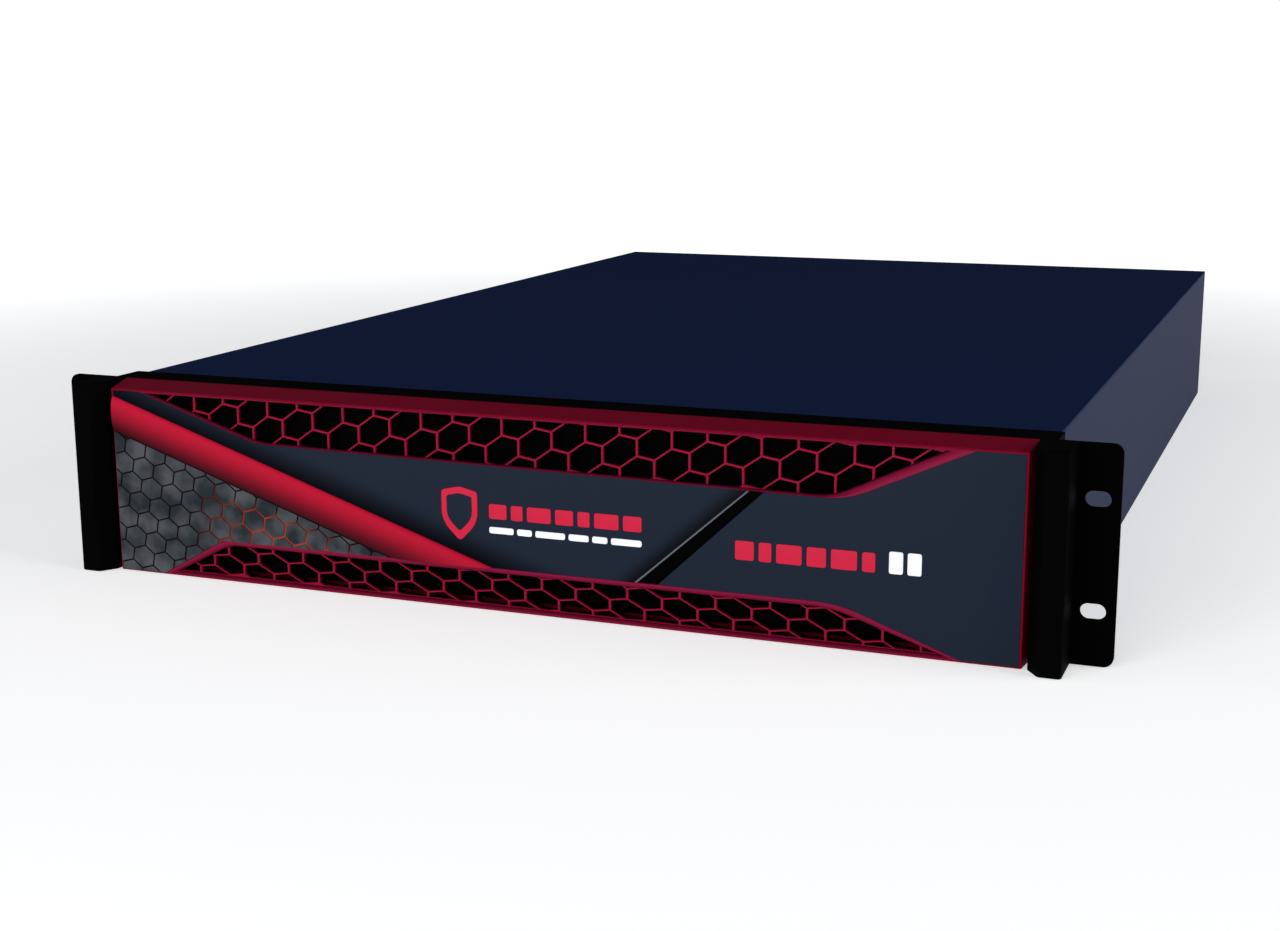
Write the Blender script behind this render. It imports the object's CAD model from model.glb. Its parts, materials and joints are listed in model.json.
# %% [markdown]
# A two-unit rack firewall appliance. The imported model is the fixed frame: it has the true sizes
# and places of every piece. This notebook adds the camera, the studio, the finishes, and the
# moulded front whose soft edges and sloping borders a plain solid does not show.

# %% Load the frame
import json
import math

import bpy
import numpy as np
from mathutils import Matrix, Vector


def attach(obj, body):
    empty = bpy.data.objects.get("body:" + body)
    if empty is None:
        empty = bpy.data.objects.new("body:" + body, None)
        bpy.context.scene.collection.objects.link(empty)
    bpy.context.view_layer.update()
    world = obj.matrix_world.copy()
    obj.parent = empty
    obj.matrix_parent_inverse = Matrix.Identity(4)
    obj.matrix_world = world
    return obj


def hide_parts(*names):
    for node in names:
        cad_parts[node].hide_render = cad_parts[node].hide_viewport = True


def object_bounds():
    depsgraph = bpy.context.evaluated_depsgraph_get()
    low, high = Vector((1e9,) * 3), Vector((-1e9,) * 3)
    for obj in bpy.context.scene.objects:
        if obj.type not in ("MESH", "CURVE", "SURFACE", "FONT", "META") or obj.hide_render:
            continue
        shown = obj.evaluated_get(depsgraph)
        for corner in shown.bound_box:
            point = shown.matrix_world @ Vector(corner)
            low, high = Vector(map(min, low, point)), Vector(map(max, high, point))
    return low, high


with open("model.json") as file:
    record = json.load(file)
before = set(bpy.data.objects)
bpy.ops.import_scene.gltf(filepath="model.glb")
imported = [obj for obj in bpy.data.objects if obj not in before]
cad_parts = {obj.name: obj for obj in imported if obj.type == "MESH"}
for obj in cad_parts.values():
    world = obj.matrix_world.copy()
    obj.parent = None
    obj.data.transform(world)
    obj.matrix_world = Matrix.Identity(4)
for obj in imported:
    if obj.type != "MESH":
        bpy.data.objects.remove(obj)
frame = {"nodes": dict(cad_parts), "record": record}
nodes = frame["nodes"]
cad_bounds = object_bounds()
print("box", [list(corner) for corner in cad_bounds])

# %% [markdown]
# The camera stands low in front of the right-hand end, so that the front, the lid and the right
# side are all seen. Its place is given from the centre of the four rack slots. A lens of about
# 52 mm on a 36 mm sensor keeps the long chassis from looking stretched.

# %% Camera
CAMERA_PLACE = (0.3230, -0.7080, 0.18305)
CAMERA_YAW = 0.3747
CAMERA_PITCH = -0.2099
CAMERA_ROLL = -0.0033
CAMERA_LENS = 52.39

camera_data = bpy.data.cameras.new("studio_camera")
camera_data.lens = CAMERA_LENS
camera_data.sensor_width = 36.0
camera_data.clip_end = 50.0
camera = bpy.data.objects.new("studio_camera", camera_data)
bpy.context.scene.collection.objects.link(camera)
camera.location = CAMERA_PLACE


def camera_axes(yaw, pitch, roll):
    """Right, up and back vectors: forward is turned by yaw about Z and tilted by pitch."""
    forward = np.array([-math.sin(yaw) * math.cos(pitch), math.cos(yaw) * math.cos(pitch),
                        math.sin(pitch)])
    right = np.array([math.cos(yaw), math.sin(yaw), 0.0])
    up = np.cross(right, forward)
    turned_right = math.cos(roll) * right + math.sin(roll) * up
    turned_up = -math.sin(roll) * right + math.cos(roll) * up
    return turned_right, turned_up, -forward


axes = np.array(camera_axes(CAMERA_YAW, CAMERA_PITCH, CAMERA_ROLL)).T
camera.rotation_mode = "QUATERNION"
camera.rotation_quaternion = Matrix(axes.tolist()).to_quaternion()
bpy.context.scene.camera = camera
print("camera", CAMERA_PLACE, "lens", CAMERA_LENS)

# %% [markdown]
# The studio is a pale floor, a bright backdrop and large soft lamps. The lamps stand in front
# and to the right, low down, because the upright faces of the real thing are lighter than its
# lid. The backdrop is bright to the eye but gives little light, or the lid would mirror it.

# %% Studio
WORLD_LIGHT = 0.12
FLOOR_SIDE = 12.0
FLOOR_BELOW = 0.0002

scene = bpy.context.scene
scene.view_settings.view_transform = "Standard"
scene.view_settings.look = "None"


def add(tree, kind, settings=None, links=None):
    """Adds one shader node. Settings are properties or input values, links are input sources."""
    node = tree.nodes.new(kind)
    for name, value in (settings or {}).items():
        if isinstance(name, str) and hasattr(node, name):
            setattr(node, name, value)
        else:
            node.inputs[name].default_value = value
    for name, source in (links or {}).items():
        tree.links.new(source, node.inputs[name])
    return node


def linear(hex_colour):
    """sRGB hex to linear: values under 0.04045 divided by 12.92, the rest by the 2.4 power."""
    text = hex_colour.lstrip("#")
    srgb = np.array([int(text[k:k + 2], 16) for k in (0, 2, 4)]) / 255.0
    low = srgb / 12.92
    high = ((srgb + 0.055) / 1.055) ** 2.4
    return tuple(np.where(srgb <= 0.04045, low, high)) + (1.0,)


world = bpy.data.worlds.new("studio_world")
scene.world = world
world.use_nodes = True
tree = world.node_tree
tree.nodes.clear()
seen = add(tree, "ShaderNodeBackground", {"Color": (1, 1, 1, 1), "Strength": 1.0})
lit = add(tree, "ShaderNodeBackground", {"Color": (0.80, 0.88, 1.0, 1), "Strength": WORLD_LIGHT})
path = add(tree, "ShaderNodeLightPath")
choice = add(tree, "ShaderNodeMixShader", {}, {0: path.outputs["Is Camera Ray"],
                                                1: lit.outputs[0], 2: seen.outputs[0]})
add(tree, "ShaderNodeOutputWorld", {}, {"Surface": choice.outputs[0]})


def lamp(name, place, aim, width, height, watts, colour="#ffffff"):
    """A rectangular soft lamp that faces its aim."""
    data = bpy.data.lights.new(name, "AREA")
    data.shape = "RECTANGLE"
    data.size = width
    data.size_y = height
    data.energy = watts
    data.color = linear(colour)[:3]
    thing = bpy.data.objects.new(name, data)
    scene.collection.objects.link(thing)
    thing.location = place
    direction = np.array(aim) - np.array(place)
    thing.rotation_mode = "QUATERNION"
    thing.rotation_quaternion = Vector(direction).to_track_quat("-Z", "Y")
    return thing


lamp("front_lamp", (-0.5, -2.4, 0.75), (0.0, 0.0, 0.0), 2.4, 1.2, 50)
lamp("right_lamp", (2.6, 0.1, 0.7), (0.1, 0.3, 0.0), 2.2, 1.2, 46)
lamp("fill_lamp", (-1.6, -0.8, 1.6), (0.0, 0.2, 0.0), 1.2, 1.2, 5)

floor_z = cad_bounds[0][2]
bpy.ops.mesh.primitive_plane_add(size=FLOOR_SIDE, location=(0, 0.3, floor_z - FLOOR_BELOW))
floor = bpy.context.object
floor.name = "studio_floor"
print("studio with", len(bpy.data.lights), "lamps, floor at", round(floor_z, 4))

# %% [markdown]
# Finishes. Each one starts from what the real surface is. Powder coat is polyester baked on
# steel: it flows into a faint orange peel about a millimetre across. Moulded ABS shows a fine
# spark grain. Zinc plate, machined brass and extruded aluminium keep their drawing lines.

# %% Finish helper
MM = 0.001


def finish(name, colour, roughness, metallic=0.0, ior=1.5, specular=0.5):
    """A material with a Principled shader; returns it, its tree, shader and coordinates."""
    material = bpy.data.materials.new(name)
    material.use_nodes = True
    tree = material.node_tree
    tree.nodes.clear()
    shader = add(tree, "ShaderNodeBsdfPrincipled", {
        "Base Color": linear(colour), "Roughness": roughness, "Metallic": metallic,
        "IOR": ior, "Specular IOR Level": specular})
    add(tree, "ShaderNodeOutputMaterial", {}, {"Surface": shader.outputs[0]})
    place = add(tree, "ShaderNodeTexCoord")
    material.diffuse_color = linear(colour)
    return material, tree, shader, place.outputs["Object"]


def grain(tree, shader, place, size_mm, depth_mm, tint, spread, detail=2.0):
    """Noise of one real size drives relief, a little colour and a little gloss."""
    noise = add(tree, "ShaderNodeTexNoise", {"Scale": 1.0 / (size_mm * MM), "Detail": detail},
                {"Vector": place})
    bump = add(tree, "ShaderNodeBump", {"Strength": 1.0, "Distance": depth_mm * MM},
               {"Height": noise.outputs["Fac"]})
    tree.links.new(bump.outputs[0], shader.inputs["Normal"])
    base = tuple(shader.inputs["Base Color"].default_value)
    dark = tuple(channel * (1 - tint) for channel in base[:3]) + (1.0,)
    light = tuple(min(1.0, channel * (1 + tint)) for channel in base[:3]) + (1.0,)
    mix = add(tree, "ShaderNodeMix", {"data_type": "RGBA", 6: dark, 7: light},
              {0: noise.outputs["Fac"]})
    tree.links.new(mix.outputs[2], shader.inputs["Base Color"])
    rough = shader.inputs["Roughness"].default_value
    gloss = add(tree, "ShaderNodeMapRange", {"To Min": rough - spread, "To Max": rough + spread},
                {"Value": noise.outputs["Fac"]})
    tree.links.new(gloss.outputs[0], shader.inputs["Roughness"])
    return mix


def grained(name, colour, roughness, grain_of, detail=2.0, **more):
    """A finish with its grain (size mm, depth mm, tint, gloss spread)."""
    made = finish(name, colour, roughness, **more)
    grain(*made[1:], *grain_of, detail=detail)
    return made


print("finish helpers ready")

# %% [markdown]
# Powder coats. The lid and the sides share one navy, but the lid looks darker because it
# mirrors less light, so each has its own colour. The ears are black.

# %% Powder coats
lid_coat = grained("navy_powder_coat_lid", "#101f45", 0.7, (1.4, 0.012, 0.10, 0.04),
                   specular=0.04)[0]
side_coat = grained("navy_powder_coat_side", "#1c2440", 0.66, (1.4, 0.012, 0.08, 0.04),
                    specular=0.07)[0]
black_coat = grained("black_powder_coat", "#020202", 0.75, (1.1, 0.012, 0.25, 0.05),
                     specular=0.01)[0]
print("powder coats", lid_coat.name, side_coat.name, black_coat.name)

# %% [markdown]
# The moulded front has one red for the shell and a brighter one for the bar. The slate panel is
# darker where it meets the bar, because the bar stands proud and its root is a narrow crease.
# That darkening depends only on the distance from the bar's upper edge, so the material works
# it out from Object coordinates.

# %% Moulded plastics
def split(tree, place):
    """Object coordinates as three separate values."""
    return add(tree, "ShaderNodeSeparateXYZ", {}, {"Vector": place}).outputs


def shade_by(tree, shader, value, low, high, colour):
    """Mixes a colour into the base where a value falls from high to low."""
    step = add(tree, "ShaderNodeMapRange", {"interpolation_type": "SMOOTHSTEP", "From Min": low,
                                            "From Max": high}, {"Value": value})
    base = shader.inputs["Base Color"].links[0].from_socket
    mix = add(tree, "ShaderNodeMix", {"data_type": "RGBA", 6: linear(colour)},
              {0: step.outputs[0], 7: base})
    tree.links.new(mix.outputs[2], shader.inputs["Base Color"])


def line_distance(tree, place, slope, offset):
    """The value z + slope * x + offset, in metres: zero on a slanting line."""
    parts = split(tree, place)
    rise = add(tree, "ShaderNodeMath", {"operation": "MULTIPLY_ADD", 1: slope},
               {0: parts["X"], 2: parts["Z"]})
    total = add(tree, "ShaderNodeMath", {"operation": "ADD", 1: offset}, {0: rise.outputs[0]})
    return total.outputs[0]


ABS_IOR = 1.54
SPARK = (0.5, 0.006, 0.05, 0.05)
# the bar's upper edge, its height upright, and the groove's left edge, in metres
BAR_FALL = 0.3281
EDGE_AT = 0.03019
BAR_BAND = 0.016
GROOVE_RISE = -0.882
GROOVE_AT = 0.0682

red_abs = grained("red_moulded_abs", "#6c0620", 0.5, SPARK, ior=ABS_IOR, specular=0.02)[0]

border_abs, tree, shader, place = grained("red_border_abs", "#7a1034", 0.5, SPARK, ior=ABS_IOR,
                                          specular=0.05)
shade_by(tree, shader, split(tree, place)["Y"], -0.0128, -0.0146, "#16040a")

grille_abs, tree, shader, place = grained("red_grille_abs", "#8c0e31", 0.5, SPARK, ior=ABS_IOR,
                                          specular=0.04)
shade_by(tree, shader, split(tree, place)["Y"], -0.0112, -0.0128, "#12030a")

black_abs = grained("black_moulded_abs", "#020202", 0.65, (0.5, 0.008, 0.2, 0.06), ior=ABS_IOR,
                    specular=0.01)[0]
strip_abs = grained("pale_moulded_abs", "#565b66", 0.45, (0.5, 0.004, 0.05, 0.05),
                    specular=0.1)[0]
red_ink = grained("red_pad_print", "#c01c3b", 0.5, (0.4, 0.003, 0.04, 0.05), specular=0.1)[0]
white_ink = grained("white_pad_print", "#e9ecf2", 0.5, (0.4, 0.003, 0.03, 0.05),
                    specular=0.1)[0]


def slate(name):
    """Slate moulding, dark along the bar's root."""
    made = grained(name, "#1a222f", 0.55, SPARK, ior=ABS_IOR, specular=0.035)
    material, tree, shader, place = made
    shade_by(tree, shader, line_distance(tree, place, BAR_FALL, EDGE_AT), 0.0, 0.0135, "#01030b")
    return made


slate_abs = slate("slate_moulded_abs")[0]
slate_left, tree, shader, place = slate("slate_moulded_abs_left")
shade_by(tree, shader, line_distance(tree, place, GROOVE_RISE, GROOVE_AT), 0.0, 0.011, "#05070b")

bar_abs, tree, shader, place = grained("red_bar_abs", "#b4102e", 0.6, (0.5, 0.006, 0.04, 0.04),
                                       ior=ABS_IOR, specular=0.05)
shade_by(tree, shader, line_distance(tree, place, BAR_FALL, EDGE_AT + BAR_BAND), 0.0, 0.0165,
         "#3c0410")

black_foam = grained("black_filter_foam", "#020202", 0.95, (0.9, 0.4, 0.5, 0.04), detail=4.0,
                     specular=0.02)[0]
print("moulded plastics", len(bpy.data.materials), "materials so far")

# %% [markdown]
# The grey inlay is a moulded sheet of hexagons. The tops are mottled like cast stone. The seams
# lie half a millimetre deeper; they are dark at the top left and are lit a dull orange red
# towards the middle, as if a lamp stood behind a translucent backing.

# %% Inlay finish
GLOW_CENTRE = (-0.120, -0.0159, -0.019)
SEAM_DEPTH = (-0.01632, -0.01600)

grey_inlay, tree, shader, place = finish("grey_moulded_inlay", "#20262a", 0.6, specular=0.05)
mottle = grain(tree, shader, place, 5.0, 0.05, 0.3, 0.08, detail=6.0)
patches = add(tree, "ShaderNodeTexNoise", {"Scale": 60.0, "Detail": 3.0}, {"Vector": place})
lift = add(tree, "ShaderNodeMapRange", {"From Min": 0.4, "From Max": 0.65},
           {"Value": patches.outputs["Fac"]})
tops = add(tree, "ShaderNodeMix", {"data_type": "RGBA", 7: linear("#4a4c50")},
           {0: lift.outputs[0], 6: mottle.outputs[2]})
glow_ball = add(tree, "ShaderNodeVectorMath", {"operation": "DISTANCE", 1: GLOW_CENTRE},
                {0: place})
glow = add(tree, "ShaderNodeMapRange", {"From Min": 0.010, "From Max": 0.048, "To Min": 1.0,
                                        "To Max": 0.0}, {"Value": glow_ball.outputs["Value"]})
below_bar = add(tree, "ShaderNodeMapRange", {"From Min": -0.003, "From Max": -0.009},
                {"Value": line_distance(tree, place, BAR_FALL, EDGE_AT + BAR_BAND)})
lit_part = add(tree, "ShaderNodeMath", {"operation": "MULTIPLY"},
               {0: glow.outputs[0], 1: below_bar.outputs[0]})
seam_red = add(tree, "ShaderNodeMix", {"data_type": "RGBA", 6: linear("#18060a"),
                                       7: linear("#b03c20")}, {0: lit_part.outputs[0]})
depth = add(tree, "ShaderNodeMapRange", {"From Min": SEAM_DEPTH[0], "From Max": SEAM_DEPTH[1]},
            {"Value": split(tree, place)["Y"]})
face = add(tree, "ShaderNodeMix", {"data_type": "RGBA"},
           {0: depth.outputs[0], 6: tops.outputs[2], 7: seam_red.outputs[2]})
tree.links.new(face.outputs[2], shader.inputs["Base Color"])

print("inlay", grey_inlay.name)

# %% [markdown]
# The pieces inside have plain finishes. Zinc plate has broad crystals, machined brass and
# extruded aluminium a fine drawing grain, and the cable a woven sleeve.

# %% Board, metals and small plastics
board_mask = grained("green_solder_mask", "#0d3b23", 0.35, (2.2, 0.02, 0.3, 0.1), detail=5.0)[0]
clear_plastic = grained("clear_polycarbonate", "#dfe8e2", 0.15, (0.5, 0.003, 0.03, 0.05),
                        ior=1.58)[0]
fan_pbt = grained("black_fan_pbt", "#0b0b0c", 0.45, (0.6, 0.01, 0.2, 0.06))[0]
zinc_plate = grained("zinc_plated_steel", "#a9adb2", 0.36, (6.0, 0.004, 0.12, 0.08), detail=3.0,
                     metallic=1.0)[0]
brass = grained("machined_brass", "#c9a45b", 0.3, (0.5, 0.004, 0.06, 0.05), metallic=1.0)[0]
aluminium = grained("extruded_aluminium", "#c9ccd0", 0.32, (0.8, 0.006, 0.06, 0.06),
                    metallic=1.0)[0]
steel = grained("bright_screw_steel", "#8d9095", 0.34, (0.6, 0.005, 0.08, 0.06),
                metallic=1.0)[0]
cable_sleeve = grained("woven_cable_sleeve", "#101011", 0.7, (0.8, 0.15, 0.4, 0.08),
                       detail=1.0)[0]
orange_nylon = grained("orange_nylon", "#c2470c", 0.42, SPARK)[0]
grey_abs = grained("grey_moulded_abs", "#5b5f66", 0.45, SPARK)[0]
print("all finishes", len(bpy.data.materials), "materials")

# %% [markdown]
# The floor is pale paint. It glows a little, and more with distance, so that it runs into the
# bright backdrop without a horizon while the object still casts a soft shadow close by.

# %% Floor
floor_paint, tree, shader, place = finish("studio_floor_paint", "#f4f4f4", 0.9, specular=0.0)
noise = add(tree, "ShaderNodeTexNoise", {"Scale": 2.0, "Detail": 1.0}, {"Vector": place})
mix = add(tree, "ShaderNodeMix", {"data_type": "RGBA", 6: linear("#f3f3f3"), 7: linear("#f7f7f7")},
          {0: noise.outputs["Fac"]})
tree.links.new(mix.outputs[2], shader.inputs["Base Color"])
shader.inputs["Emission Color"].default_value = (1.0, 1.0, 1.0, 1.0)
reach = add(tree, "ShaderNodeVectorMath", {"operation": "LENGTH"}, {0: place})
strength = add(tree, "ShaderNodeMapRange", {"interpolation_type": "SMOOTHSTEP", "From Min": 0.5,
                                            "From Max": 1.7, "To Min": 0.46, "To Max": 1.0},
               {"Value": reach.outputs["Value"]})
tree.links.new(strength.outputs[0], shader.inputs["Emission Strength"])
floor.data.materials.append(floor_paint)
print("floor", floor_paint.name)

# %% [markdown]
# Surfaces. Every new piece is a stack of closed loops joined by faces. A loop is a row of
# points, so a whole stack is one array, and the faces follow from the point numbers alone.

# %% Surface helpers
FRONT = -15.9
GRILLE_FACE = -12.9
HALF_HIGH = 44.05
RAIL_TOP = 18.8


def skin(name, rings, material, body, cad, closed=False):
    """P(u, v) = rings[v][u]: closed loops in millimetres, joined to the next and capped."""
    rings = np.asarray(rings, float)
    levels, count = rings.shape[:2]
    u = np.arange(count)
    v = np.arange(levels if closed else levels - 1)
    low, across = np.meshgrid(v, u, indexing="ij")
    low, across = low.ravel(), across.ravel()
    high, follow = (low + 1) % levels, (across + 1) % count
    quads = np.stack([low * count + across, low * count + follow,
                      high * count + follow, high * count + across], axis=1)
    faces = quads.tolist()
    if not closed:
        faces.append(list(range(count - 1, -1, -1)))
        faces.append(list(range((levels - 1) * count, levels * count)))
    mesh = bpy.data.meshes.new(name)
    mesh.from_pydata((rings.reshape(-1, 3) * MM).tolist(), [], faces)
    mesh.validate()
    mesh.update()
    if signed_volume(mesh) < 0:
        mesh.flip_normals()
    mesh.materials.append(material)
    mesh.shade_smooth()
    mesh.set_sharp_from_angle(angle=math.radians(28))
    thing = bpy.data.objects.new(name, mesh)
    scene.collection.objects.link(thing)
    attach(thing, body)
    if cad:
        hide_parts(*cad)
    return thing


def signed_volume(mesh):
    """Sum over triangles of (a x b) . c / 6, positive when the normals point outward."""
    mesh.calc_loop_triangles()
    points = np.empty(len(mesh.vertices) * 3)
    mesh.vertices.foreach_get("co", points)
    corners = np.empty(len(mesh.loop_triangles) * 3, dtype=np.int32)
    mesh.loop_triangles.foreach_get("vertices", corners)
    a, b, c = points.reshape(-1, 3)[corners.reshape(-1, 3)].transpose(1, 0, 2)
    return float(np.einsum("ij,ij->", np.cross(a, b), c) / 6)


def soften(loop, cuts, steps=6):
    """Each corner C becomes the curve (1-t)^2 A + 2t(1-t) C + t^2 B with A, B a cut away."""
    loop = np.asarray(loop, float)
    cuts = np.broadcast_to(np.asarray(cuts, float), (len(loop),))[:, None]
    before = np.roll(loop, 1, axis=0) - loop
    after = np.roll(loop, -1, axis=0) - loop
    long_before = np.linalg.norm(before, axis=1, keepdims=True)
    long_after = np.linalg.norm(after, axis=1, keepdims=True)
    start = loop + before / long_before * np.minimum(cuts, 0.45 * long_before)
    end = loop + after / long_after * np.minimum(cuts, 0.45 * long_after)
    t = np.linspace(0, 1, steps)[None, :, None]
    curve = ((1 - t) ** 2 * start[:, None] + 2 * t * (1 - t) * loop[:, None]
             + t ** 2 * end[:, None])
    return curve.reshape(-1, 2)


def shrink(loop, distance):
    """Mitred inset: each point moves by d (n1 + n2) / (1 + n1 . n2), n inward normals."""
    edge = np.roll(loop, -1, axis=0) - loop
    x, z = loop[:, 0], loop[:, 1]
    area = 0.5 * np.sum(x * np.roll(z, -1) - np.roll(x, -1) * z)
    normal = np.stack([-edge[:, 1], edge[:, 0]], axis=1) * np.sign(area)
    normal /= np.linalg.norm(normal, axis=1, keepdims=True) + 1e-12
    other = np.roll(normal, 1, axis=0)
    dot = np.sum(normal * other, axis=1, keepdims=True)
    return loop + distance * (normal + other) / np.maximum(1 + dot, 0.35)


def at_depth(loop, y):
    """Loop of (x, height over the ears' lower edge) as points of the frame at one depth."""
    return np.stack([loop[:, 0], np.full(len(loop), y), loop[:, 1] - HALF_HIGH], axis=1)


def plate(name, loop, front, back, edge, material, cad):
    """Flat plate whose front edge is a quarter round: inset e(1 - cos a), depth e(1 - sin a)."""
    angles = np.linspace(0, math.pi / 2, 4)
    rings = [at_depth(loop, back)]
    rings += [at_depth(shrink(loop, edge * (1 - math.cos(a))), front + edge * (1 - math.sin(a)))
              for a in angles]
    return skin(name, rings, material, "bezel", cad)


def border(name, outer, inner, profile, material, cad):
    """Ring between two matched loops: P(s) = outer + s (inner - outer), at the profile depth."""
    rings = [at_depth(outer + part * (inner - outer), depth) for part, depth in profile]
    return skin(name, rings, material, "bezel", cad, closed=True)


print("surface helpers ready")

# %% [markdown]
# The bezel shell is one injection moulding. It is built as three rings that meet under the
# panels: the tapered outer rim, and a border round each grille opening. The borders are not
# flat: they roll inwards and end three millimetres deeper, at the grille. Each corner has the
# generous radius that lets the part leave its mould.

# %% Outer rim
def oblong(half, low, high):
    """Corners (-half, low) to (half, high), anticlockwise from the lower left."""
    return np.array([(-half, low), (half, low), (half, high), (-half, high)], float)


# half width, low edge, high edge, depth
RIM = [(210.0, 0.0, 88.1, -2.2), (208.5, 0.0, 85.5, -15.5), (208.2, 0.2, 85.1, -15.9),
       (207.7, 0.6, 84.6, -15.9), (207.4, 0.9, 84.3, -15.5), (207.2, 1.2, 84.0, -2.2)]
rim_rings = [at_depth(soften(oblong(half, low, high), 0.6, 4), depth)
             for half, low, high, depth in RIM]
rim = skin("bezel_rim_moulding", rim_rings, red_abs, "bezel", ["bezel_frame"],
           closed=True)
print("rim", len(rim.data.polygons), "faces")

# %% [markdown]
# Each border is given by its outer and inner loop and by one profile, which says how deep the
# surface lies at each share of the way from the outer loop to the inner one.

# %% Borders of the two openings
ROLL = [(0.0, GRILLE_FACE), (0.0, -15.8), (0.06, -15.95), (0.3, -15.85), (0.6, -15.2),
        (0.85, -14.0), (1.0, GRILLE_FACE)]
upper_outer = soften([(-193.0, 84.6), (-132.6, 64.7), (137.8, 61.4), (188.6, 84.6)],
                     [0.01, 7.0, 10.0, 0.01], 8)
upper_inner = soften([(-189.0, 83.5), (-132.2, 65.0), (131.0, 61.9), (176.7, 83.5)],
                     [1.5, 6.0, 7.0, 2.0], 8)
lower_outer = soften([(-184.0, 0.6), (185.0, 0.6), (135.0, RAIL_TOP), (-152.0, RAIL_TOP)],
                     [0.01, 0.01, 10.0, 3.0], 8)
lower_inner = soften([(-178.0, 1.5), (176.7, 1.5), (131.0, 15.9), (-150.0, 15.9)],
                     [2.0, 2.0, 7.0, 5.0], 8)
upper_border = border("upper_opening_border", upper_outer, upper_inner, ROLL, border_abs, [])
lower_border = border("lower_opening_border", lower_outer, lower_inner, ROLL, border_abs, [])
print("borders", len(upper_border.data.polygons), len(lower_border.data.polygons))

# %% [markdown]
# The slate panel is in two halves with a sunk, slanting groove between them. The groove has a
# black floor and a thin pale strip along its left side. Where a half meets a border it shares
# that border's rounded corners, so no gap opens.

# %% Slate panel
def part_of(loop, corner, steps=8):
    """The softened points of one corner, in the order of the loop."""
    return loop[corner * steps:(corner + 1) * steps]


def top_edge(x):
    """Height of the panel's upper edge between its two corners."""
    return 64.7 + (61.4 - 64.7) * (x + 132.6) / (137.8 + 132.6)


BAR_START = (-208.3, 74.2)
BAR_SLOPE = 0.3307


def bar_axis(x):
    """Height of the bar's axis, which covers the joint of slate and inlay."""
    return BAR_START[1] - BAR_SLOPE * (x - BAR_START[0])


bar_foot = (BAR_START[1] - RAIL_TOP) / BAR_SLOPE + BAR_START[0]
left_slate = np.concatenate([
    [(-207.5, bar_axis(-207.5)), (bar_foot, RAIL_TOP), (48.3, RAIL_TOP), (97.1, top_edge(97.1))],
    part_of(upper_outer, 1)[::-1], [(-193.0, 84.6), (-207.5, 84.6)]])
right_slate = np.concatenate([
    [(58.3, RAIL_TOP)], part_of(lower_outer, 2)[::-1],
    [(185.0, 0.6), (207.5, 0.6), (207.5, 84.6), (188.6, 84.6)],
    part_of(upper_outer, 2)[::-1], [(103.9, top_edge(103.9))]])
plate("slate_panel_left", left_slate, FRONT, GRILLE_FACE, 0.35, slate_left, ["centre_panel"])
plate("slate_panel_right", right_slate, FRONT, GRILLE_FACE, 0.35, slate_abs, [])
groove = np.array([(47.0, 18.9), (59.6, 18.9), (105.2, 61.5), (95.8, 61.7)])
plate("groove_floor", groove, FRONT + 1.0, -12.95, 0.1, black_abs, [])
strip = np.array([(48.1, 19.0), (49.3, 19.0), (97.6, 61.6), (96.7, 61.7)])
plate("groove_strip", strip, FRONT - 0.1, FRONT + 1.2, 0.2, strip_abs, ["accent_strip"])
print("slate panel", len(left_slate), "and", len(right_slate), "outline points")

# %% [markdown]
# The bright bar is half round. It falls from the upper left corner to the lower grille, and
# both of its ends are cut: the left one upright, the right one level, along the grille's top.

# %% Half-round bar
BAR_TURN = math.radians(18.3)
BAR_HALF = 7.6
BAR_RISE = 2.4
BAR_SINK = 1.2
CUT_LEFT = 0.9
CUT_LOW = 55.3


def bar_ring(reach):
    """P(t) = start + s(t) a + t n, where s reaches the cut, a runs along the bar, n across it.

    With t = half cos v, the depth is front - rise (sin v)^0.9: a slightly flattened half round.
    """
    angle = np.linspace(0.0, math.pi, 25)
    t = BAR_HALF * np.cos(angle)
    depth = FRONT - BAR_RISE * np.sin(angle) ** 0.9
    t = np.concatenate([t, [-BAR_HALF, BAR_HALF]])
    depth = np.concatenate([depth, [FRONT + BAR_SINK, FRONT + BAR_SINK]])
    s = reach(t)
    x = BAR_START[0] + s * math.cos(BAR_TURN) + t * math.sin(BAR_TURN)
    z = BAR_START[1] - s * math.sin(BAR_TURN) + t * math.cos(BAR_TURN)
    return np.stack([x, depth, z - HALF_HIGH], axis=1)


bar_start = bar_ring(lambda t: (CUT_LEFT - t * math.sin(BAR_TURN)) / math.cos(BAR_TURN))
bar_end = bar_ring(lambda t: (CUT_LOW + t * math.cos(BAR_TURN)) / math.sin(BAR_TURN))
bar_mid = 0.5 * (bar_start + bar_end)
skin("half_round_bar", [bar_start, bar_mid, bar_end], bar_abs, "bezel", ["diagonal_bar"])
print("bar to", round(float(bar_end[:, 0].max()), 1), "mm")

# %% [markdown]
# The end blocks are solid mouldings: a slope beside the bezel, a flat crest, and a square outer
# side. Their long edges are broken by about a millimetre.

# %% End blocks
for side, sign in (("left", -1.0), ("right", 1.0)):
    section = soften([(210.6, -2.2), (224.8, -2.2), (224.8, -23.5), (215.6, -23.5),
                      (210.6, -15.9)], [0.2, 0.2, 1.4, 1.2, 0.6], 5)
    lean = section - section.mean(axis=0)
    blocks = []
    for height, scale in ((-HALF_HIGH, 0.96), (-HALF_HIGH + 0.4, 1.0), (HALF_HIGH - 0.4, 1.0),
                          (HALF_HIGH, 0.96)):
        loop = section.mean(axis=0) + scale * lean
        blocks.append(np.stack([sign * loop[:, 0], loop[:, 1], np.full(len(loop), height)], 1))
    skin(f"end_block_moulding_{side}", blocks, black_abs, "bezel", [f"end_block_{side}"])
print("two end blocks of", len(section), "points a ring")

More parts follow.
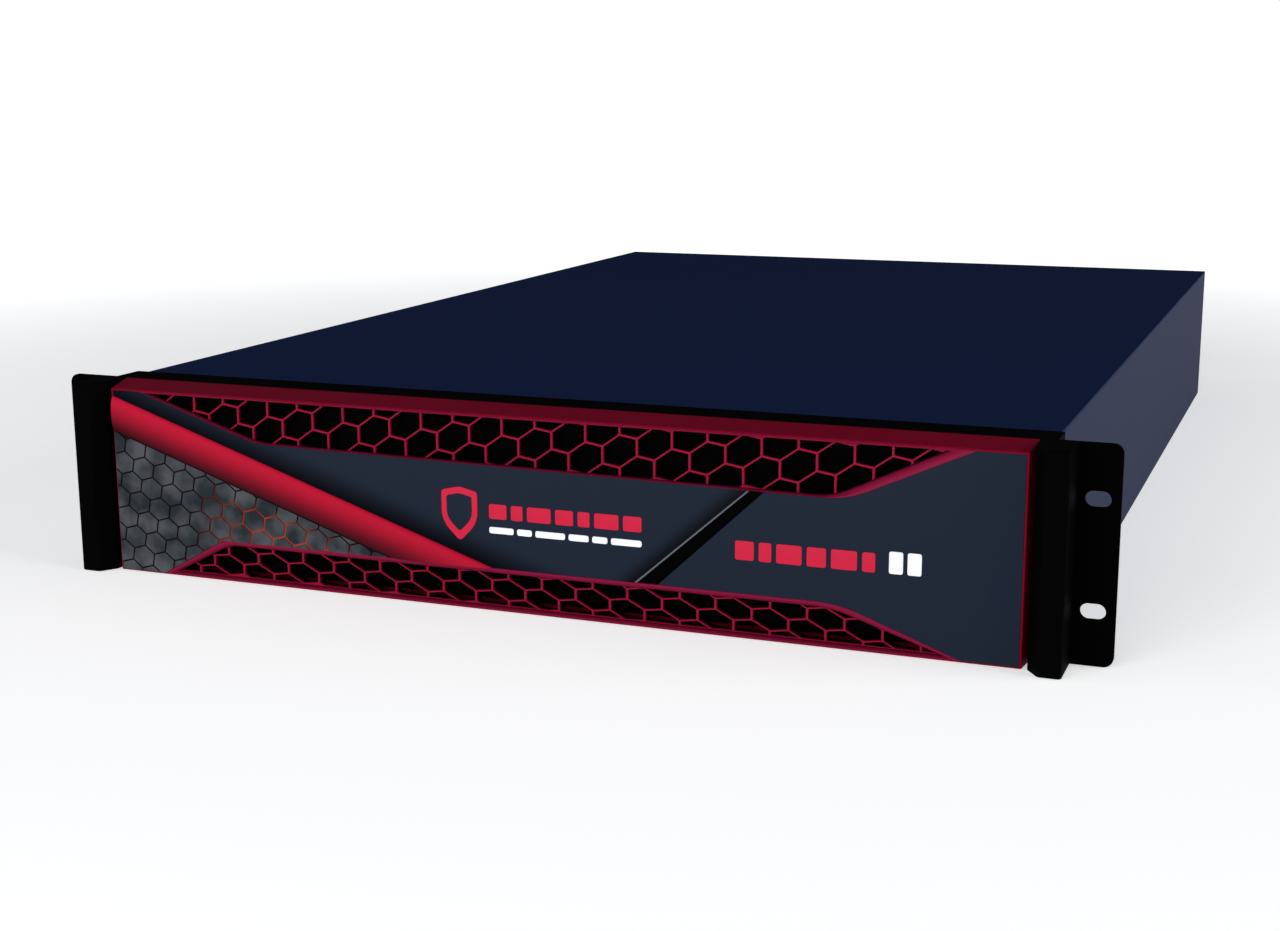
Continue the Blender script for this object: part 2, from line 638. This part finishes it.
# %% [markdown]
# Plain marks. A plain shield stands at the left, and rows of small rounded dashes stand where a
# maker would print words. They are raised by a third of a millimetre and say nothing.

# %% Marks
MARK_RISE = 0.35


def dashes(name, left, right, low, high, widths, gap, material, cad):
    """A row of rounded dashes: widths are shares of the row that is left after the gaps."""
    shares = np.array(widths, float)
    room = (right - left) - gap * (len(shares) - 1)
    wide = shares / shares.sum() * room
    starts = left + np.concatenate([[0], np.cumsum(wide + gap)[:-1]])
    for number, (start, length) in enumerate(zip(starts, wide)):
        loop = soften([(start, low), (start + length, low), (start + length, high),
                       (start, high)], 1.0, 5)
        plate(f"{name}_{number + 1}", loop, FRONT - MARK_RISE, FRONT, 0.15, material,
              cad if number == 0 else [])


shield = soften([(-32.0, 29.5), (-23.5, 38.0), (-23.5, 51.5), (-32.0, 53.5), (-40.5, 51.5),
                 (-40.5, 38.0)], [2.0, 5.0, 1.5, 2.0, 1.5, 5.0], 6)
plate("plain_shield", shield, FRONT - MARK_RISE, FRONT, 0.2, red_ink, ["badge_shield"])
centre = shield.mean(axis=0)
plate("plain_shield_field", centre + 0.7 * (shield - centre), FRONT - 0.5, FRONT - 0.3, 0.05,
      slate_abs, [])
dashes("long_dash", -18.0, 51.5, 40.5, 47.0, [3, 2, 4, 3, 2, 4, 3], 2.0, red_ink,
       ["badge_red_bars"])
dashes("low_dash", -18.0, 51.5, 34.2, 37.0, [5, 3, 6, 4, 3, 6], 1.6, white_ink,
       ["badge_white_bars"])
dashes("right_dash", 92.0, 150.0, 33.0, 41.0, [3, 2, 4, 3, 4, 2], 2.0, red_ink, [])
dashes("end_dash", 155.5, 168.5, 33.2, 42.2, [1, 1], 1.8, white_ink, [])
print("a shield and four rows of dashes")

# %% [markdown]
# The frame's own pieces keep their shapes and take the finish of their material slot. A few
# pieces differ from the rest of their slot, and those are named one by one.

# %% Finishes on the frame's own pieces
SLOT_FINISH = {
    "powder_black": black_coat, "powder_navy": side_coat, "screw_steel": steel,
    "red_plastic": red_abs, "slate_plastic": slate_abs, "bright_plastic": strip_abs,
    "hex_grey": grey_inlay, "black_plastic": black_abs, "badge_print": red_ink,
    "badge_white": white_ink, "filter_foam": black_foam, "board_green": board_mask,
    "light_pipe": clear_plastic, "fan_black": fan_pbt, "zinc_sheet": zinc_plate,
    "brass_post": brass, "sink_aluminium": aluminium, "socket_metal": zinc_plate,
    "cable_black": cable_sleeve, "inlet_black": black_abs, "button_grey": grey_abs,
    "handle_black": black_abs, "latch_orange": orange_nylon}
NODE_FINISH = {"top_cover": lid_coat, "ear_screws": black_coat, "cover_screws": lid_coat,
               "upper_grille": grille_abs, "lower_grille": grille_abs}

for part in frame["record"]["subparts"]:
    label = part["node"]
    material = NODE_FINISH.get(label, SLOT_FINISH[part["material_slot"]])
    thing = nodes[label]
    thing.data.materials.clear()
    thing.data.materials.append(material)

# %% [markdown]
# Folded sheet and moulded edges are never knife sharp. A narrow bevel breaks them by a few
# tenths of a millimetre, so that each edge draws a thin line of light.

# %% Broken edges
EDGES_MM = {"rack_ear_left": 0.4, "rack_ear_right": 0.4, "top_cover": 0.4, "hex_inlay": 0.12,
            "chassis_tray": 0.3, "rear_panel": 0.3, "supply_handle_1": 0.5,
            "supply_handle_2": 0.5, "supply_latch_1": 0.3, "supply_latch_2": 0.3}
for label, width in EDGES_MM.items():
    bevel = nodes[label].modifiers.new("broken_edge", "BEVEL")
    bevel.width = width * MM
    bevel.segments = 2
    bevel.limit_method = "ANGLE"
    bevel.angle_limit = math.radians(40)
print("broke the edges of", len(EDGES_MM), "pieces")
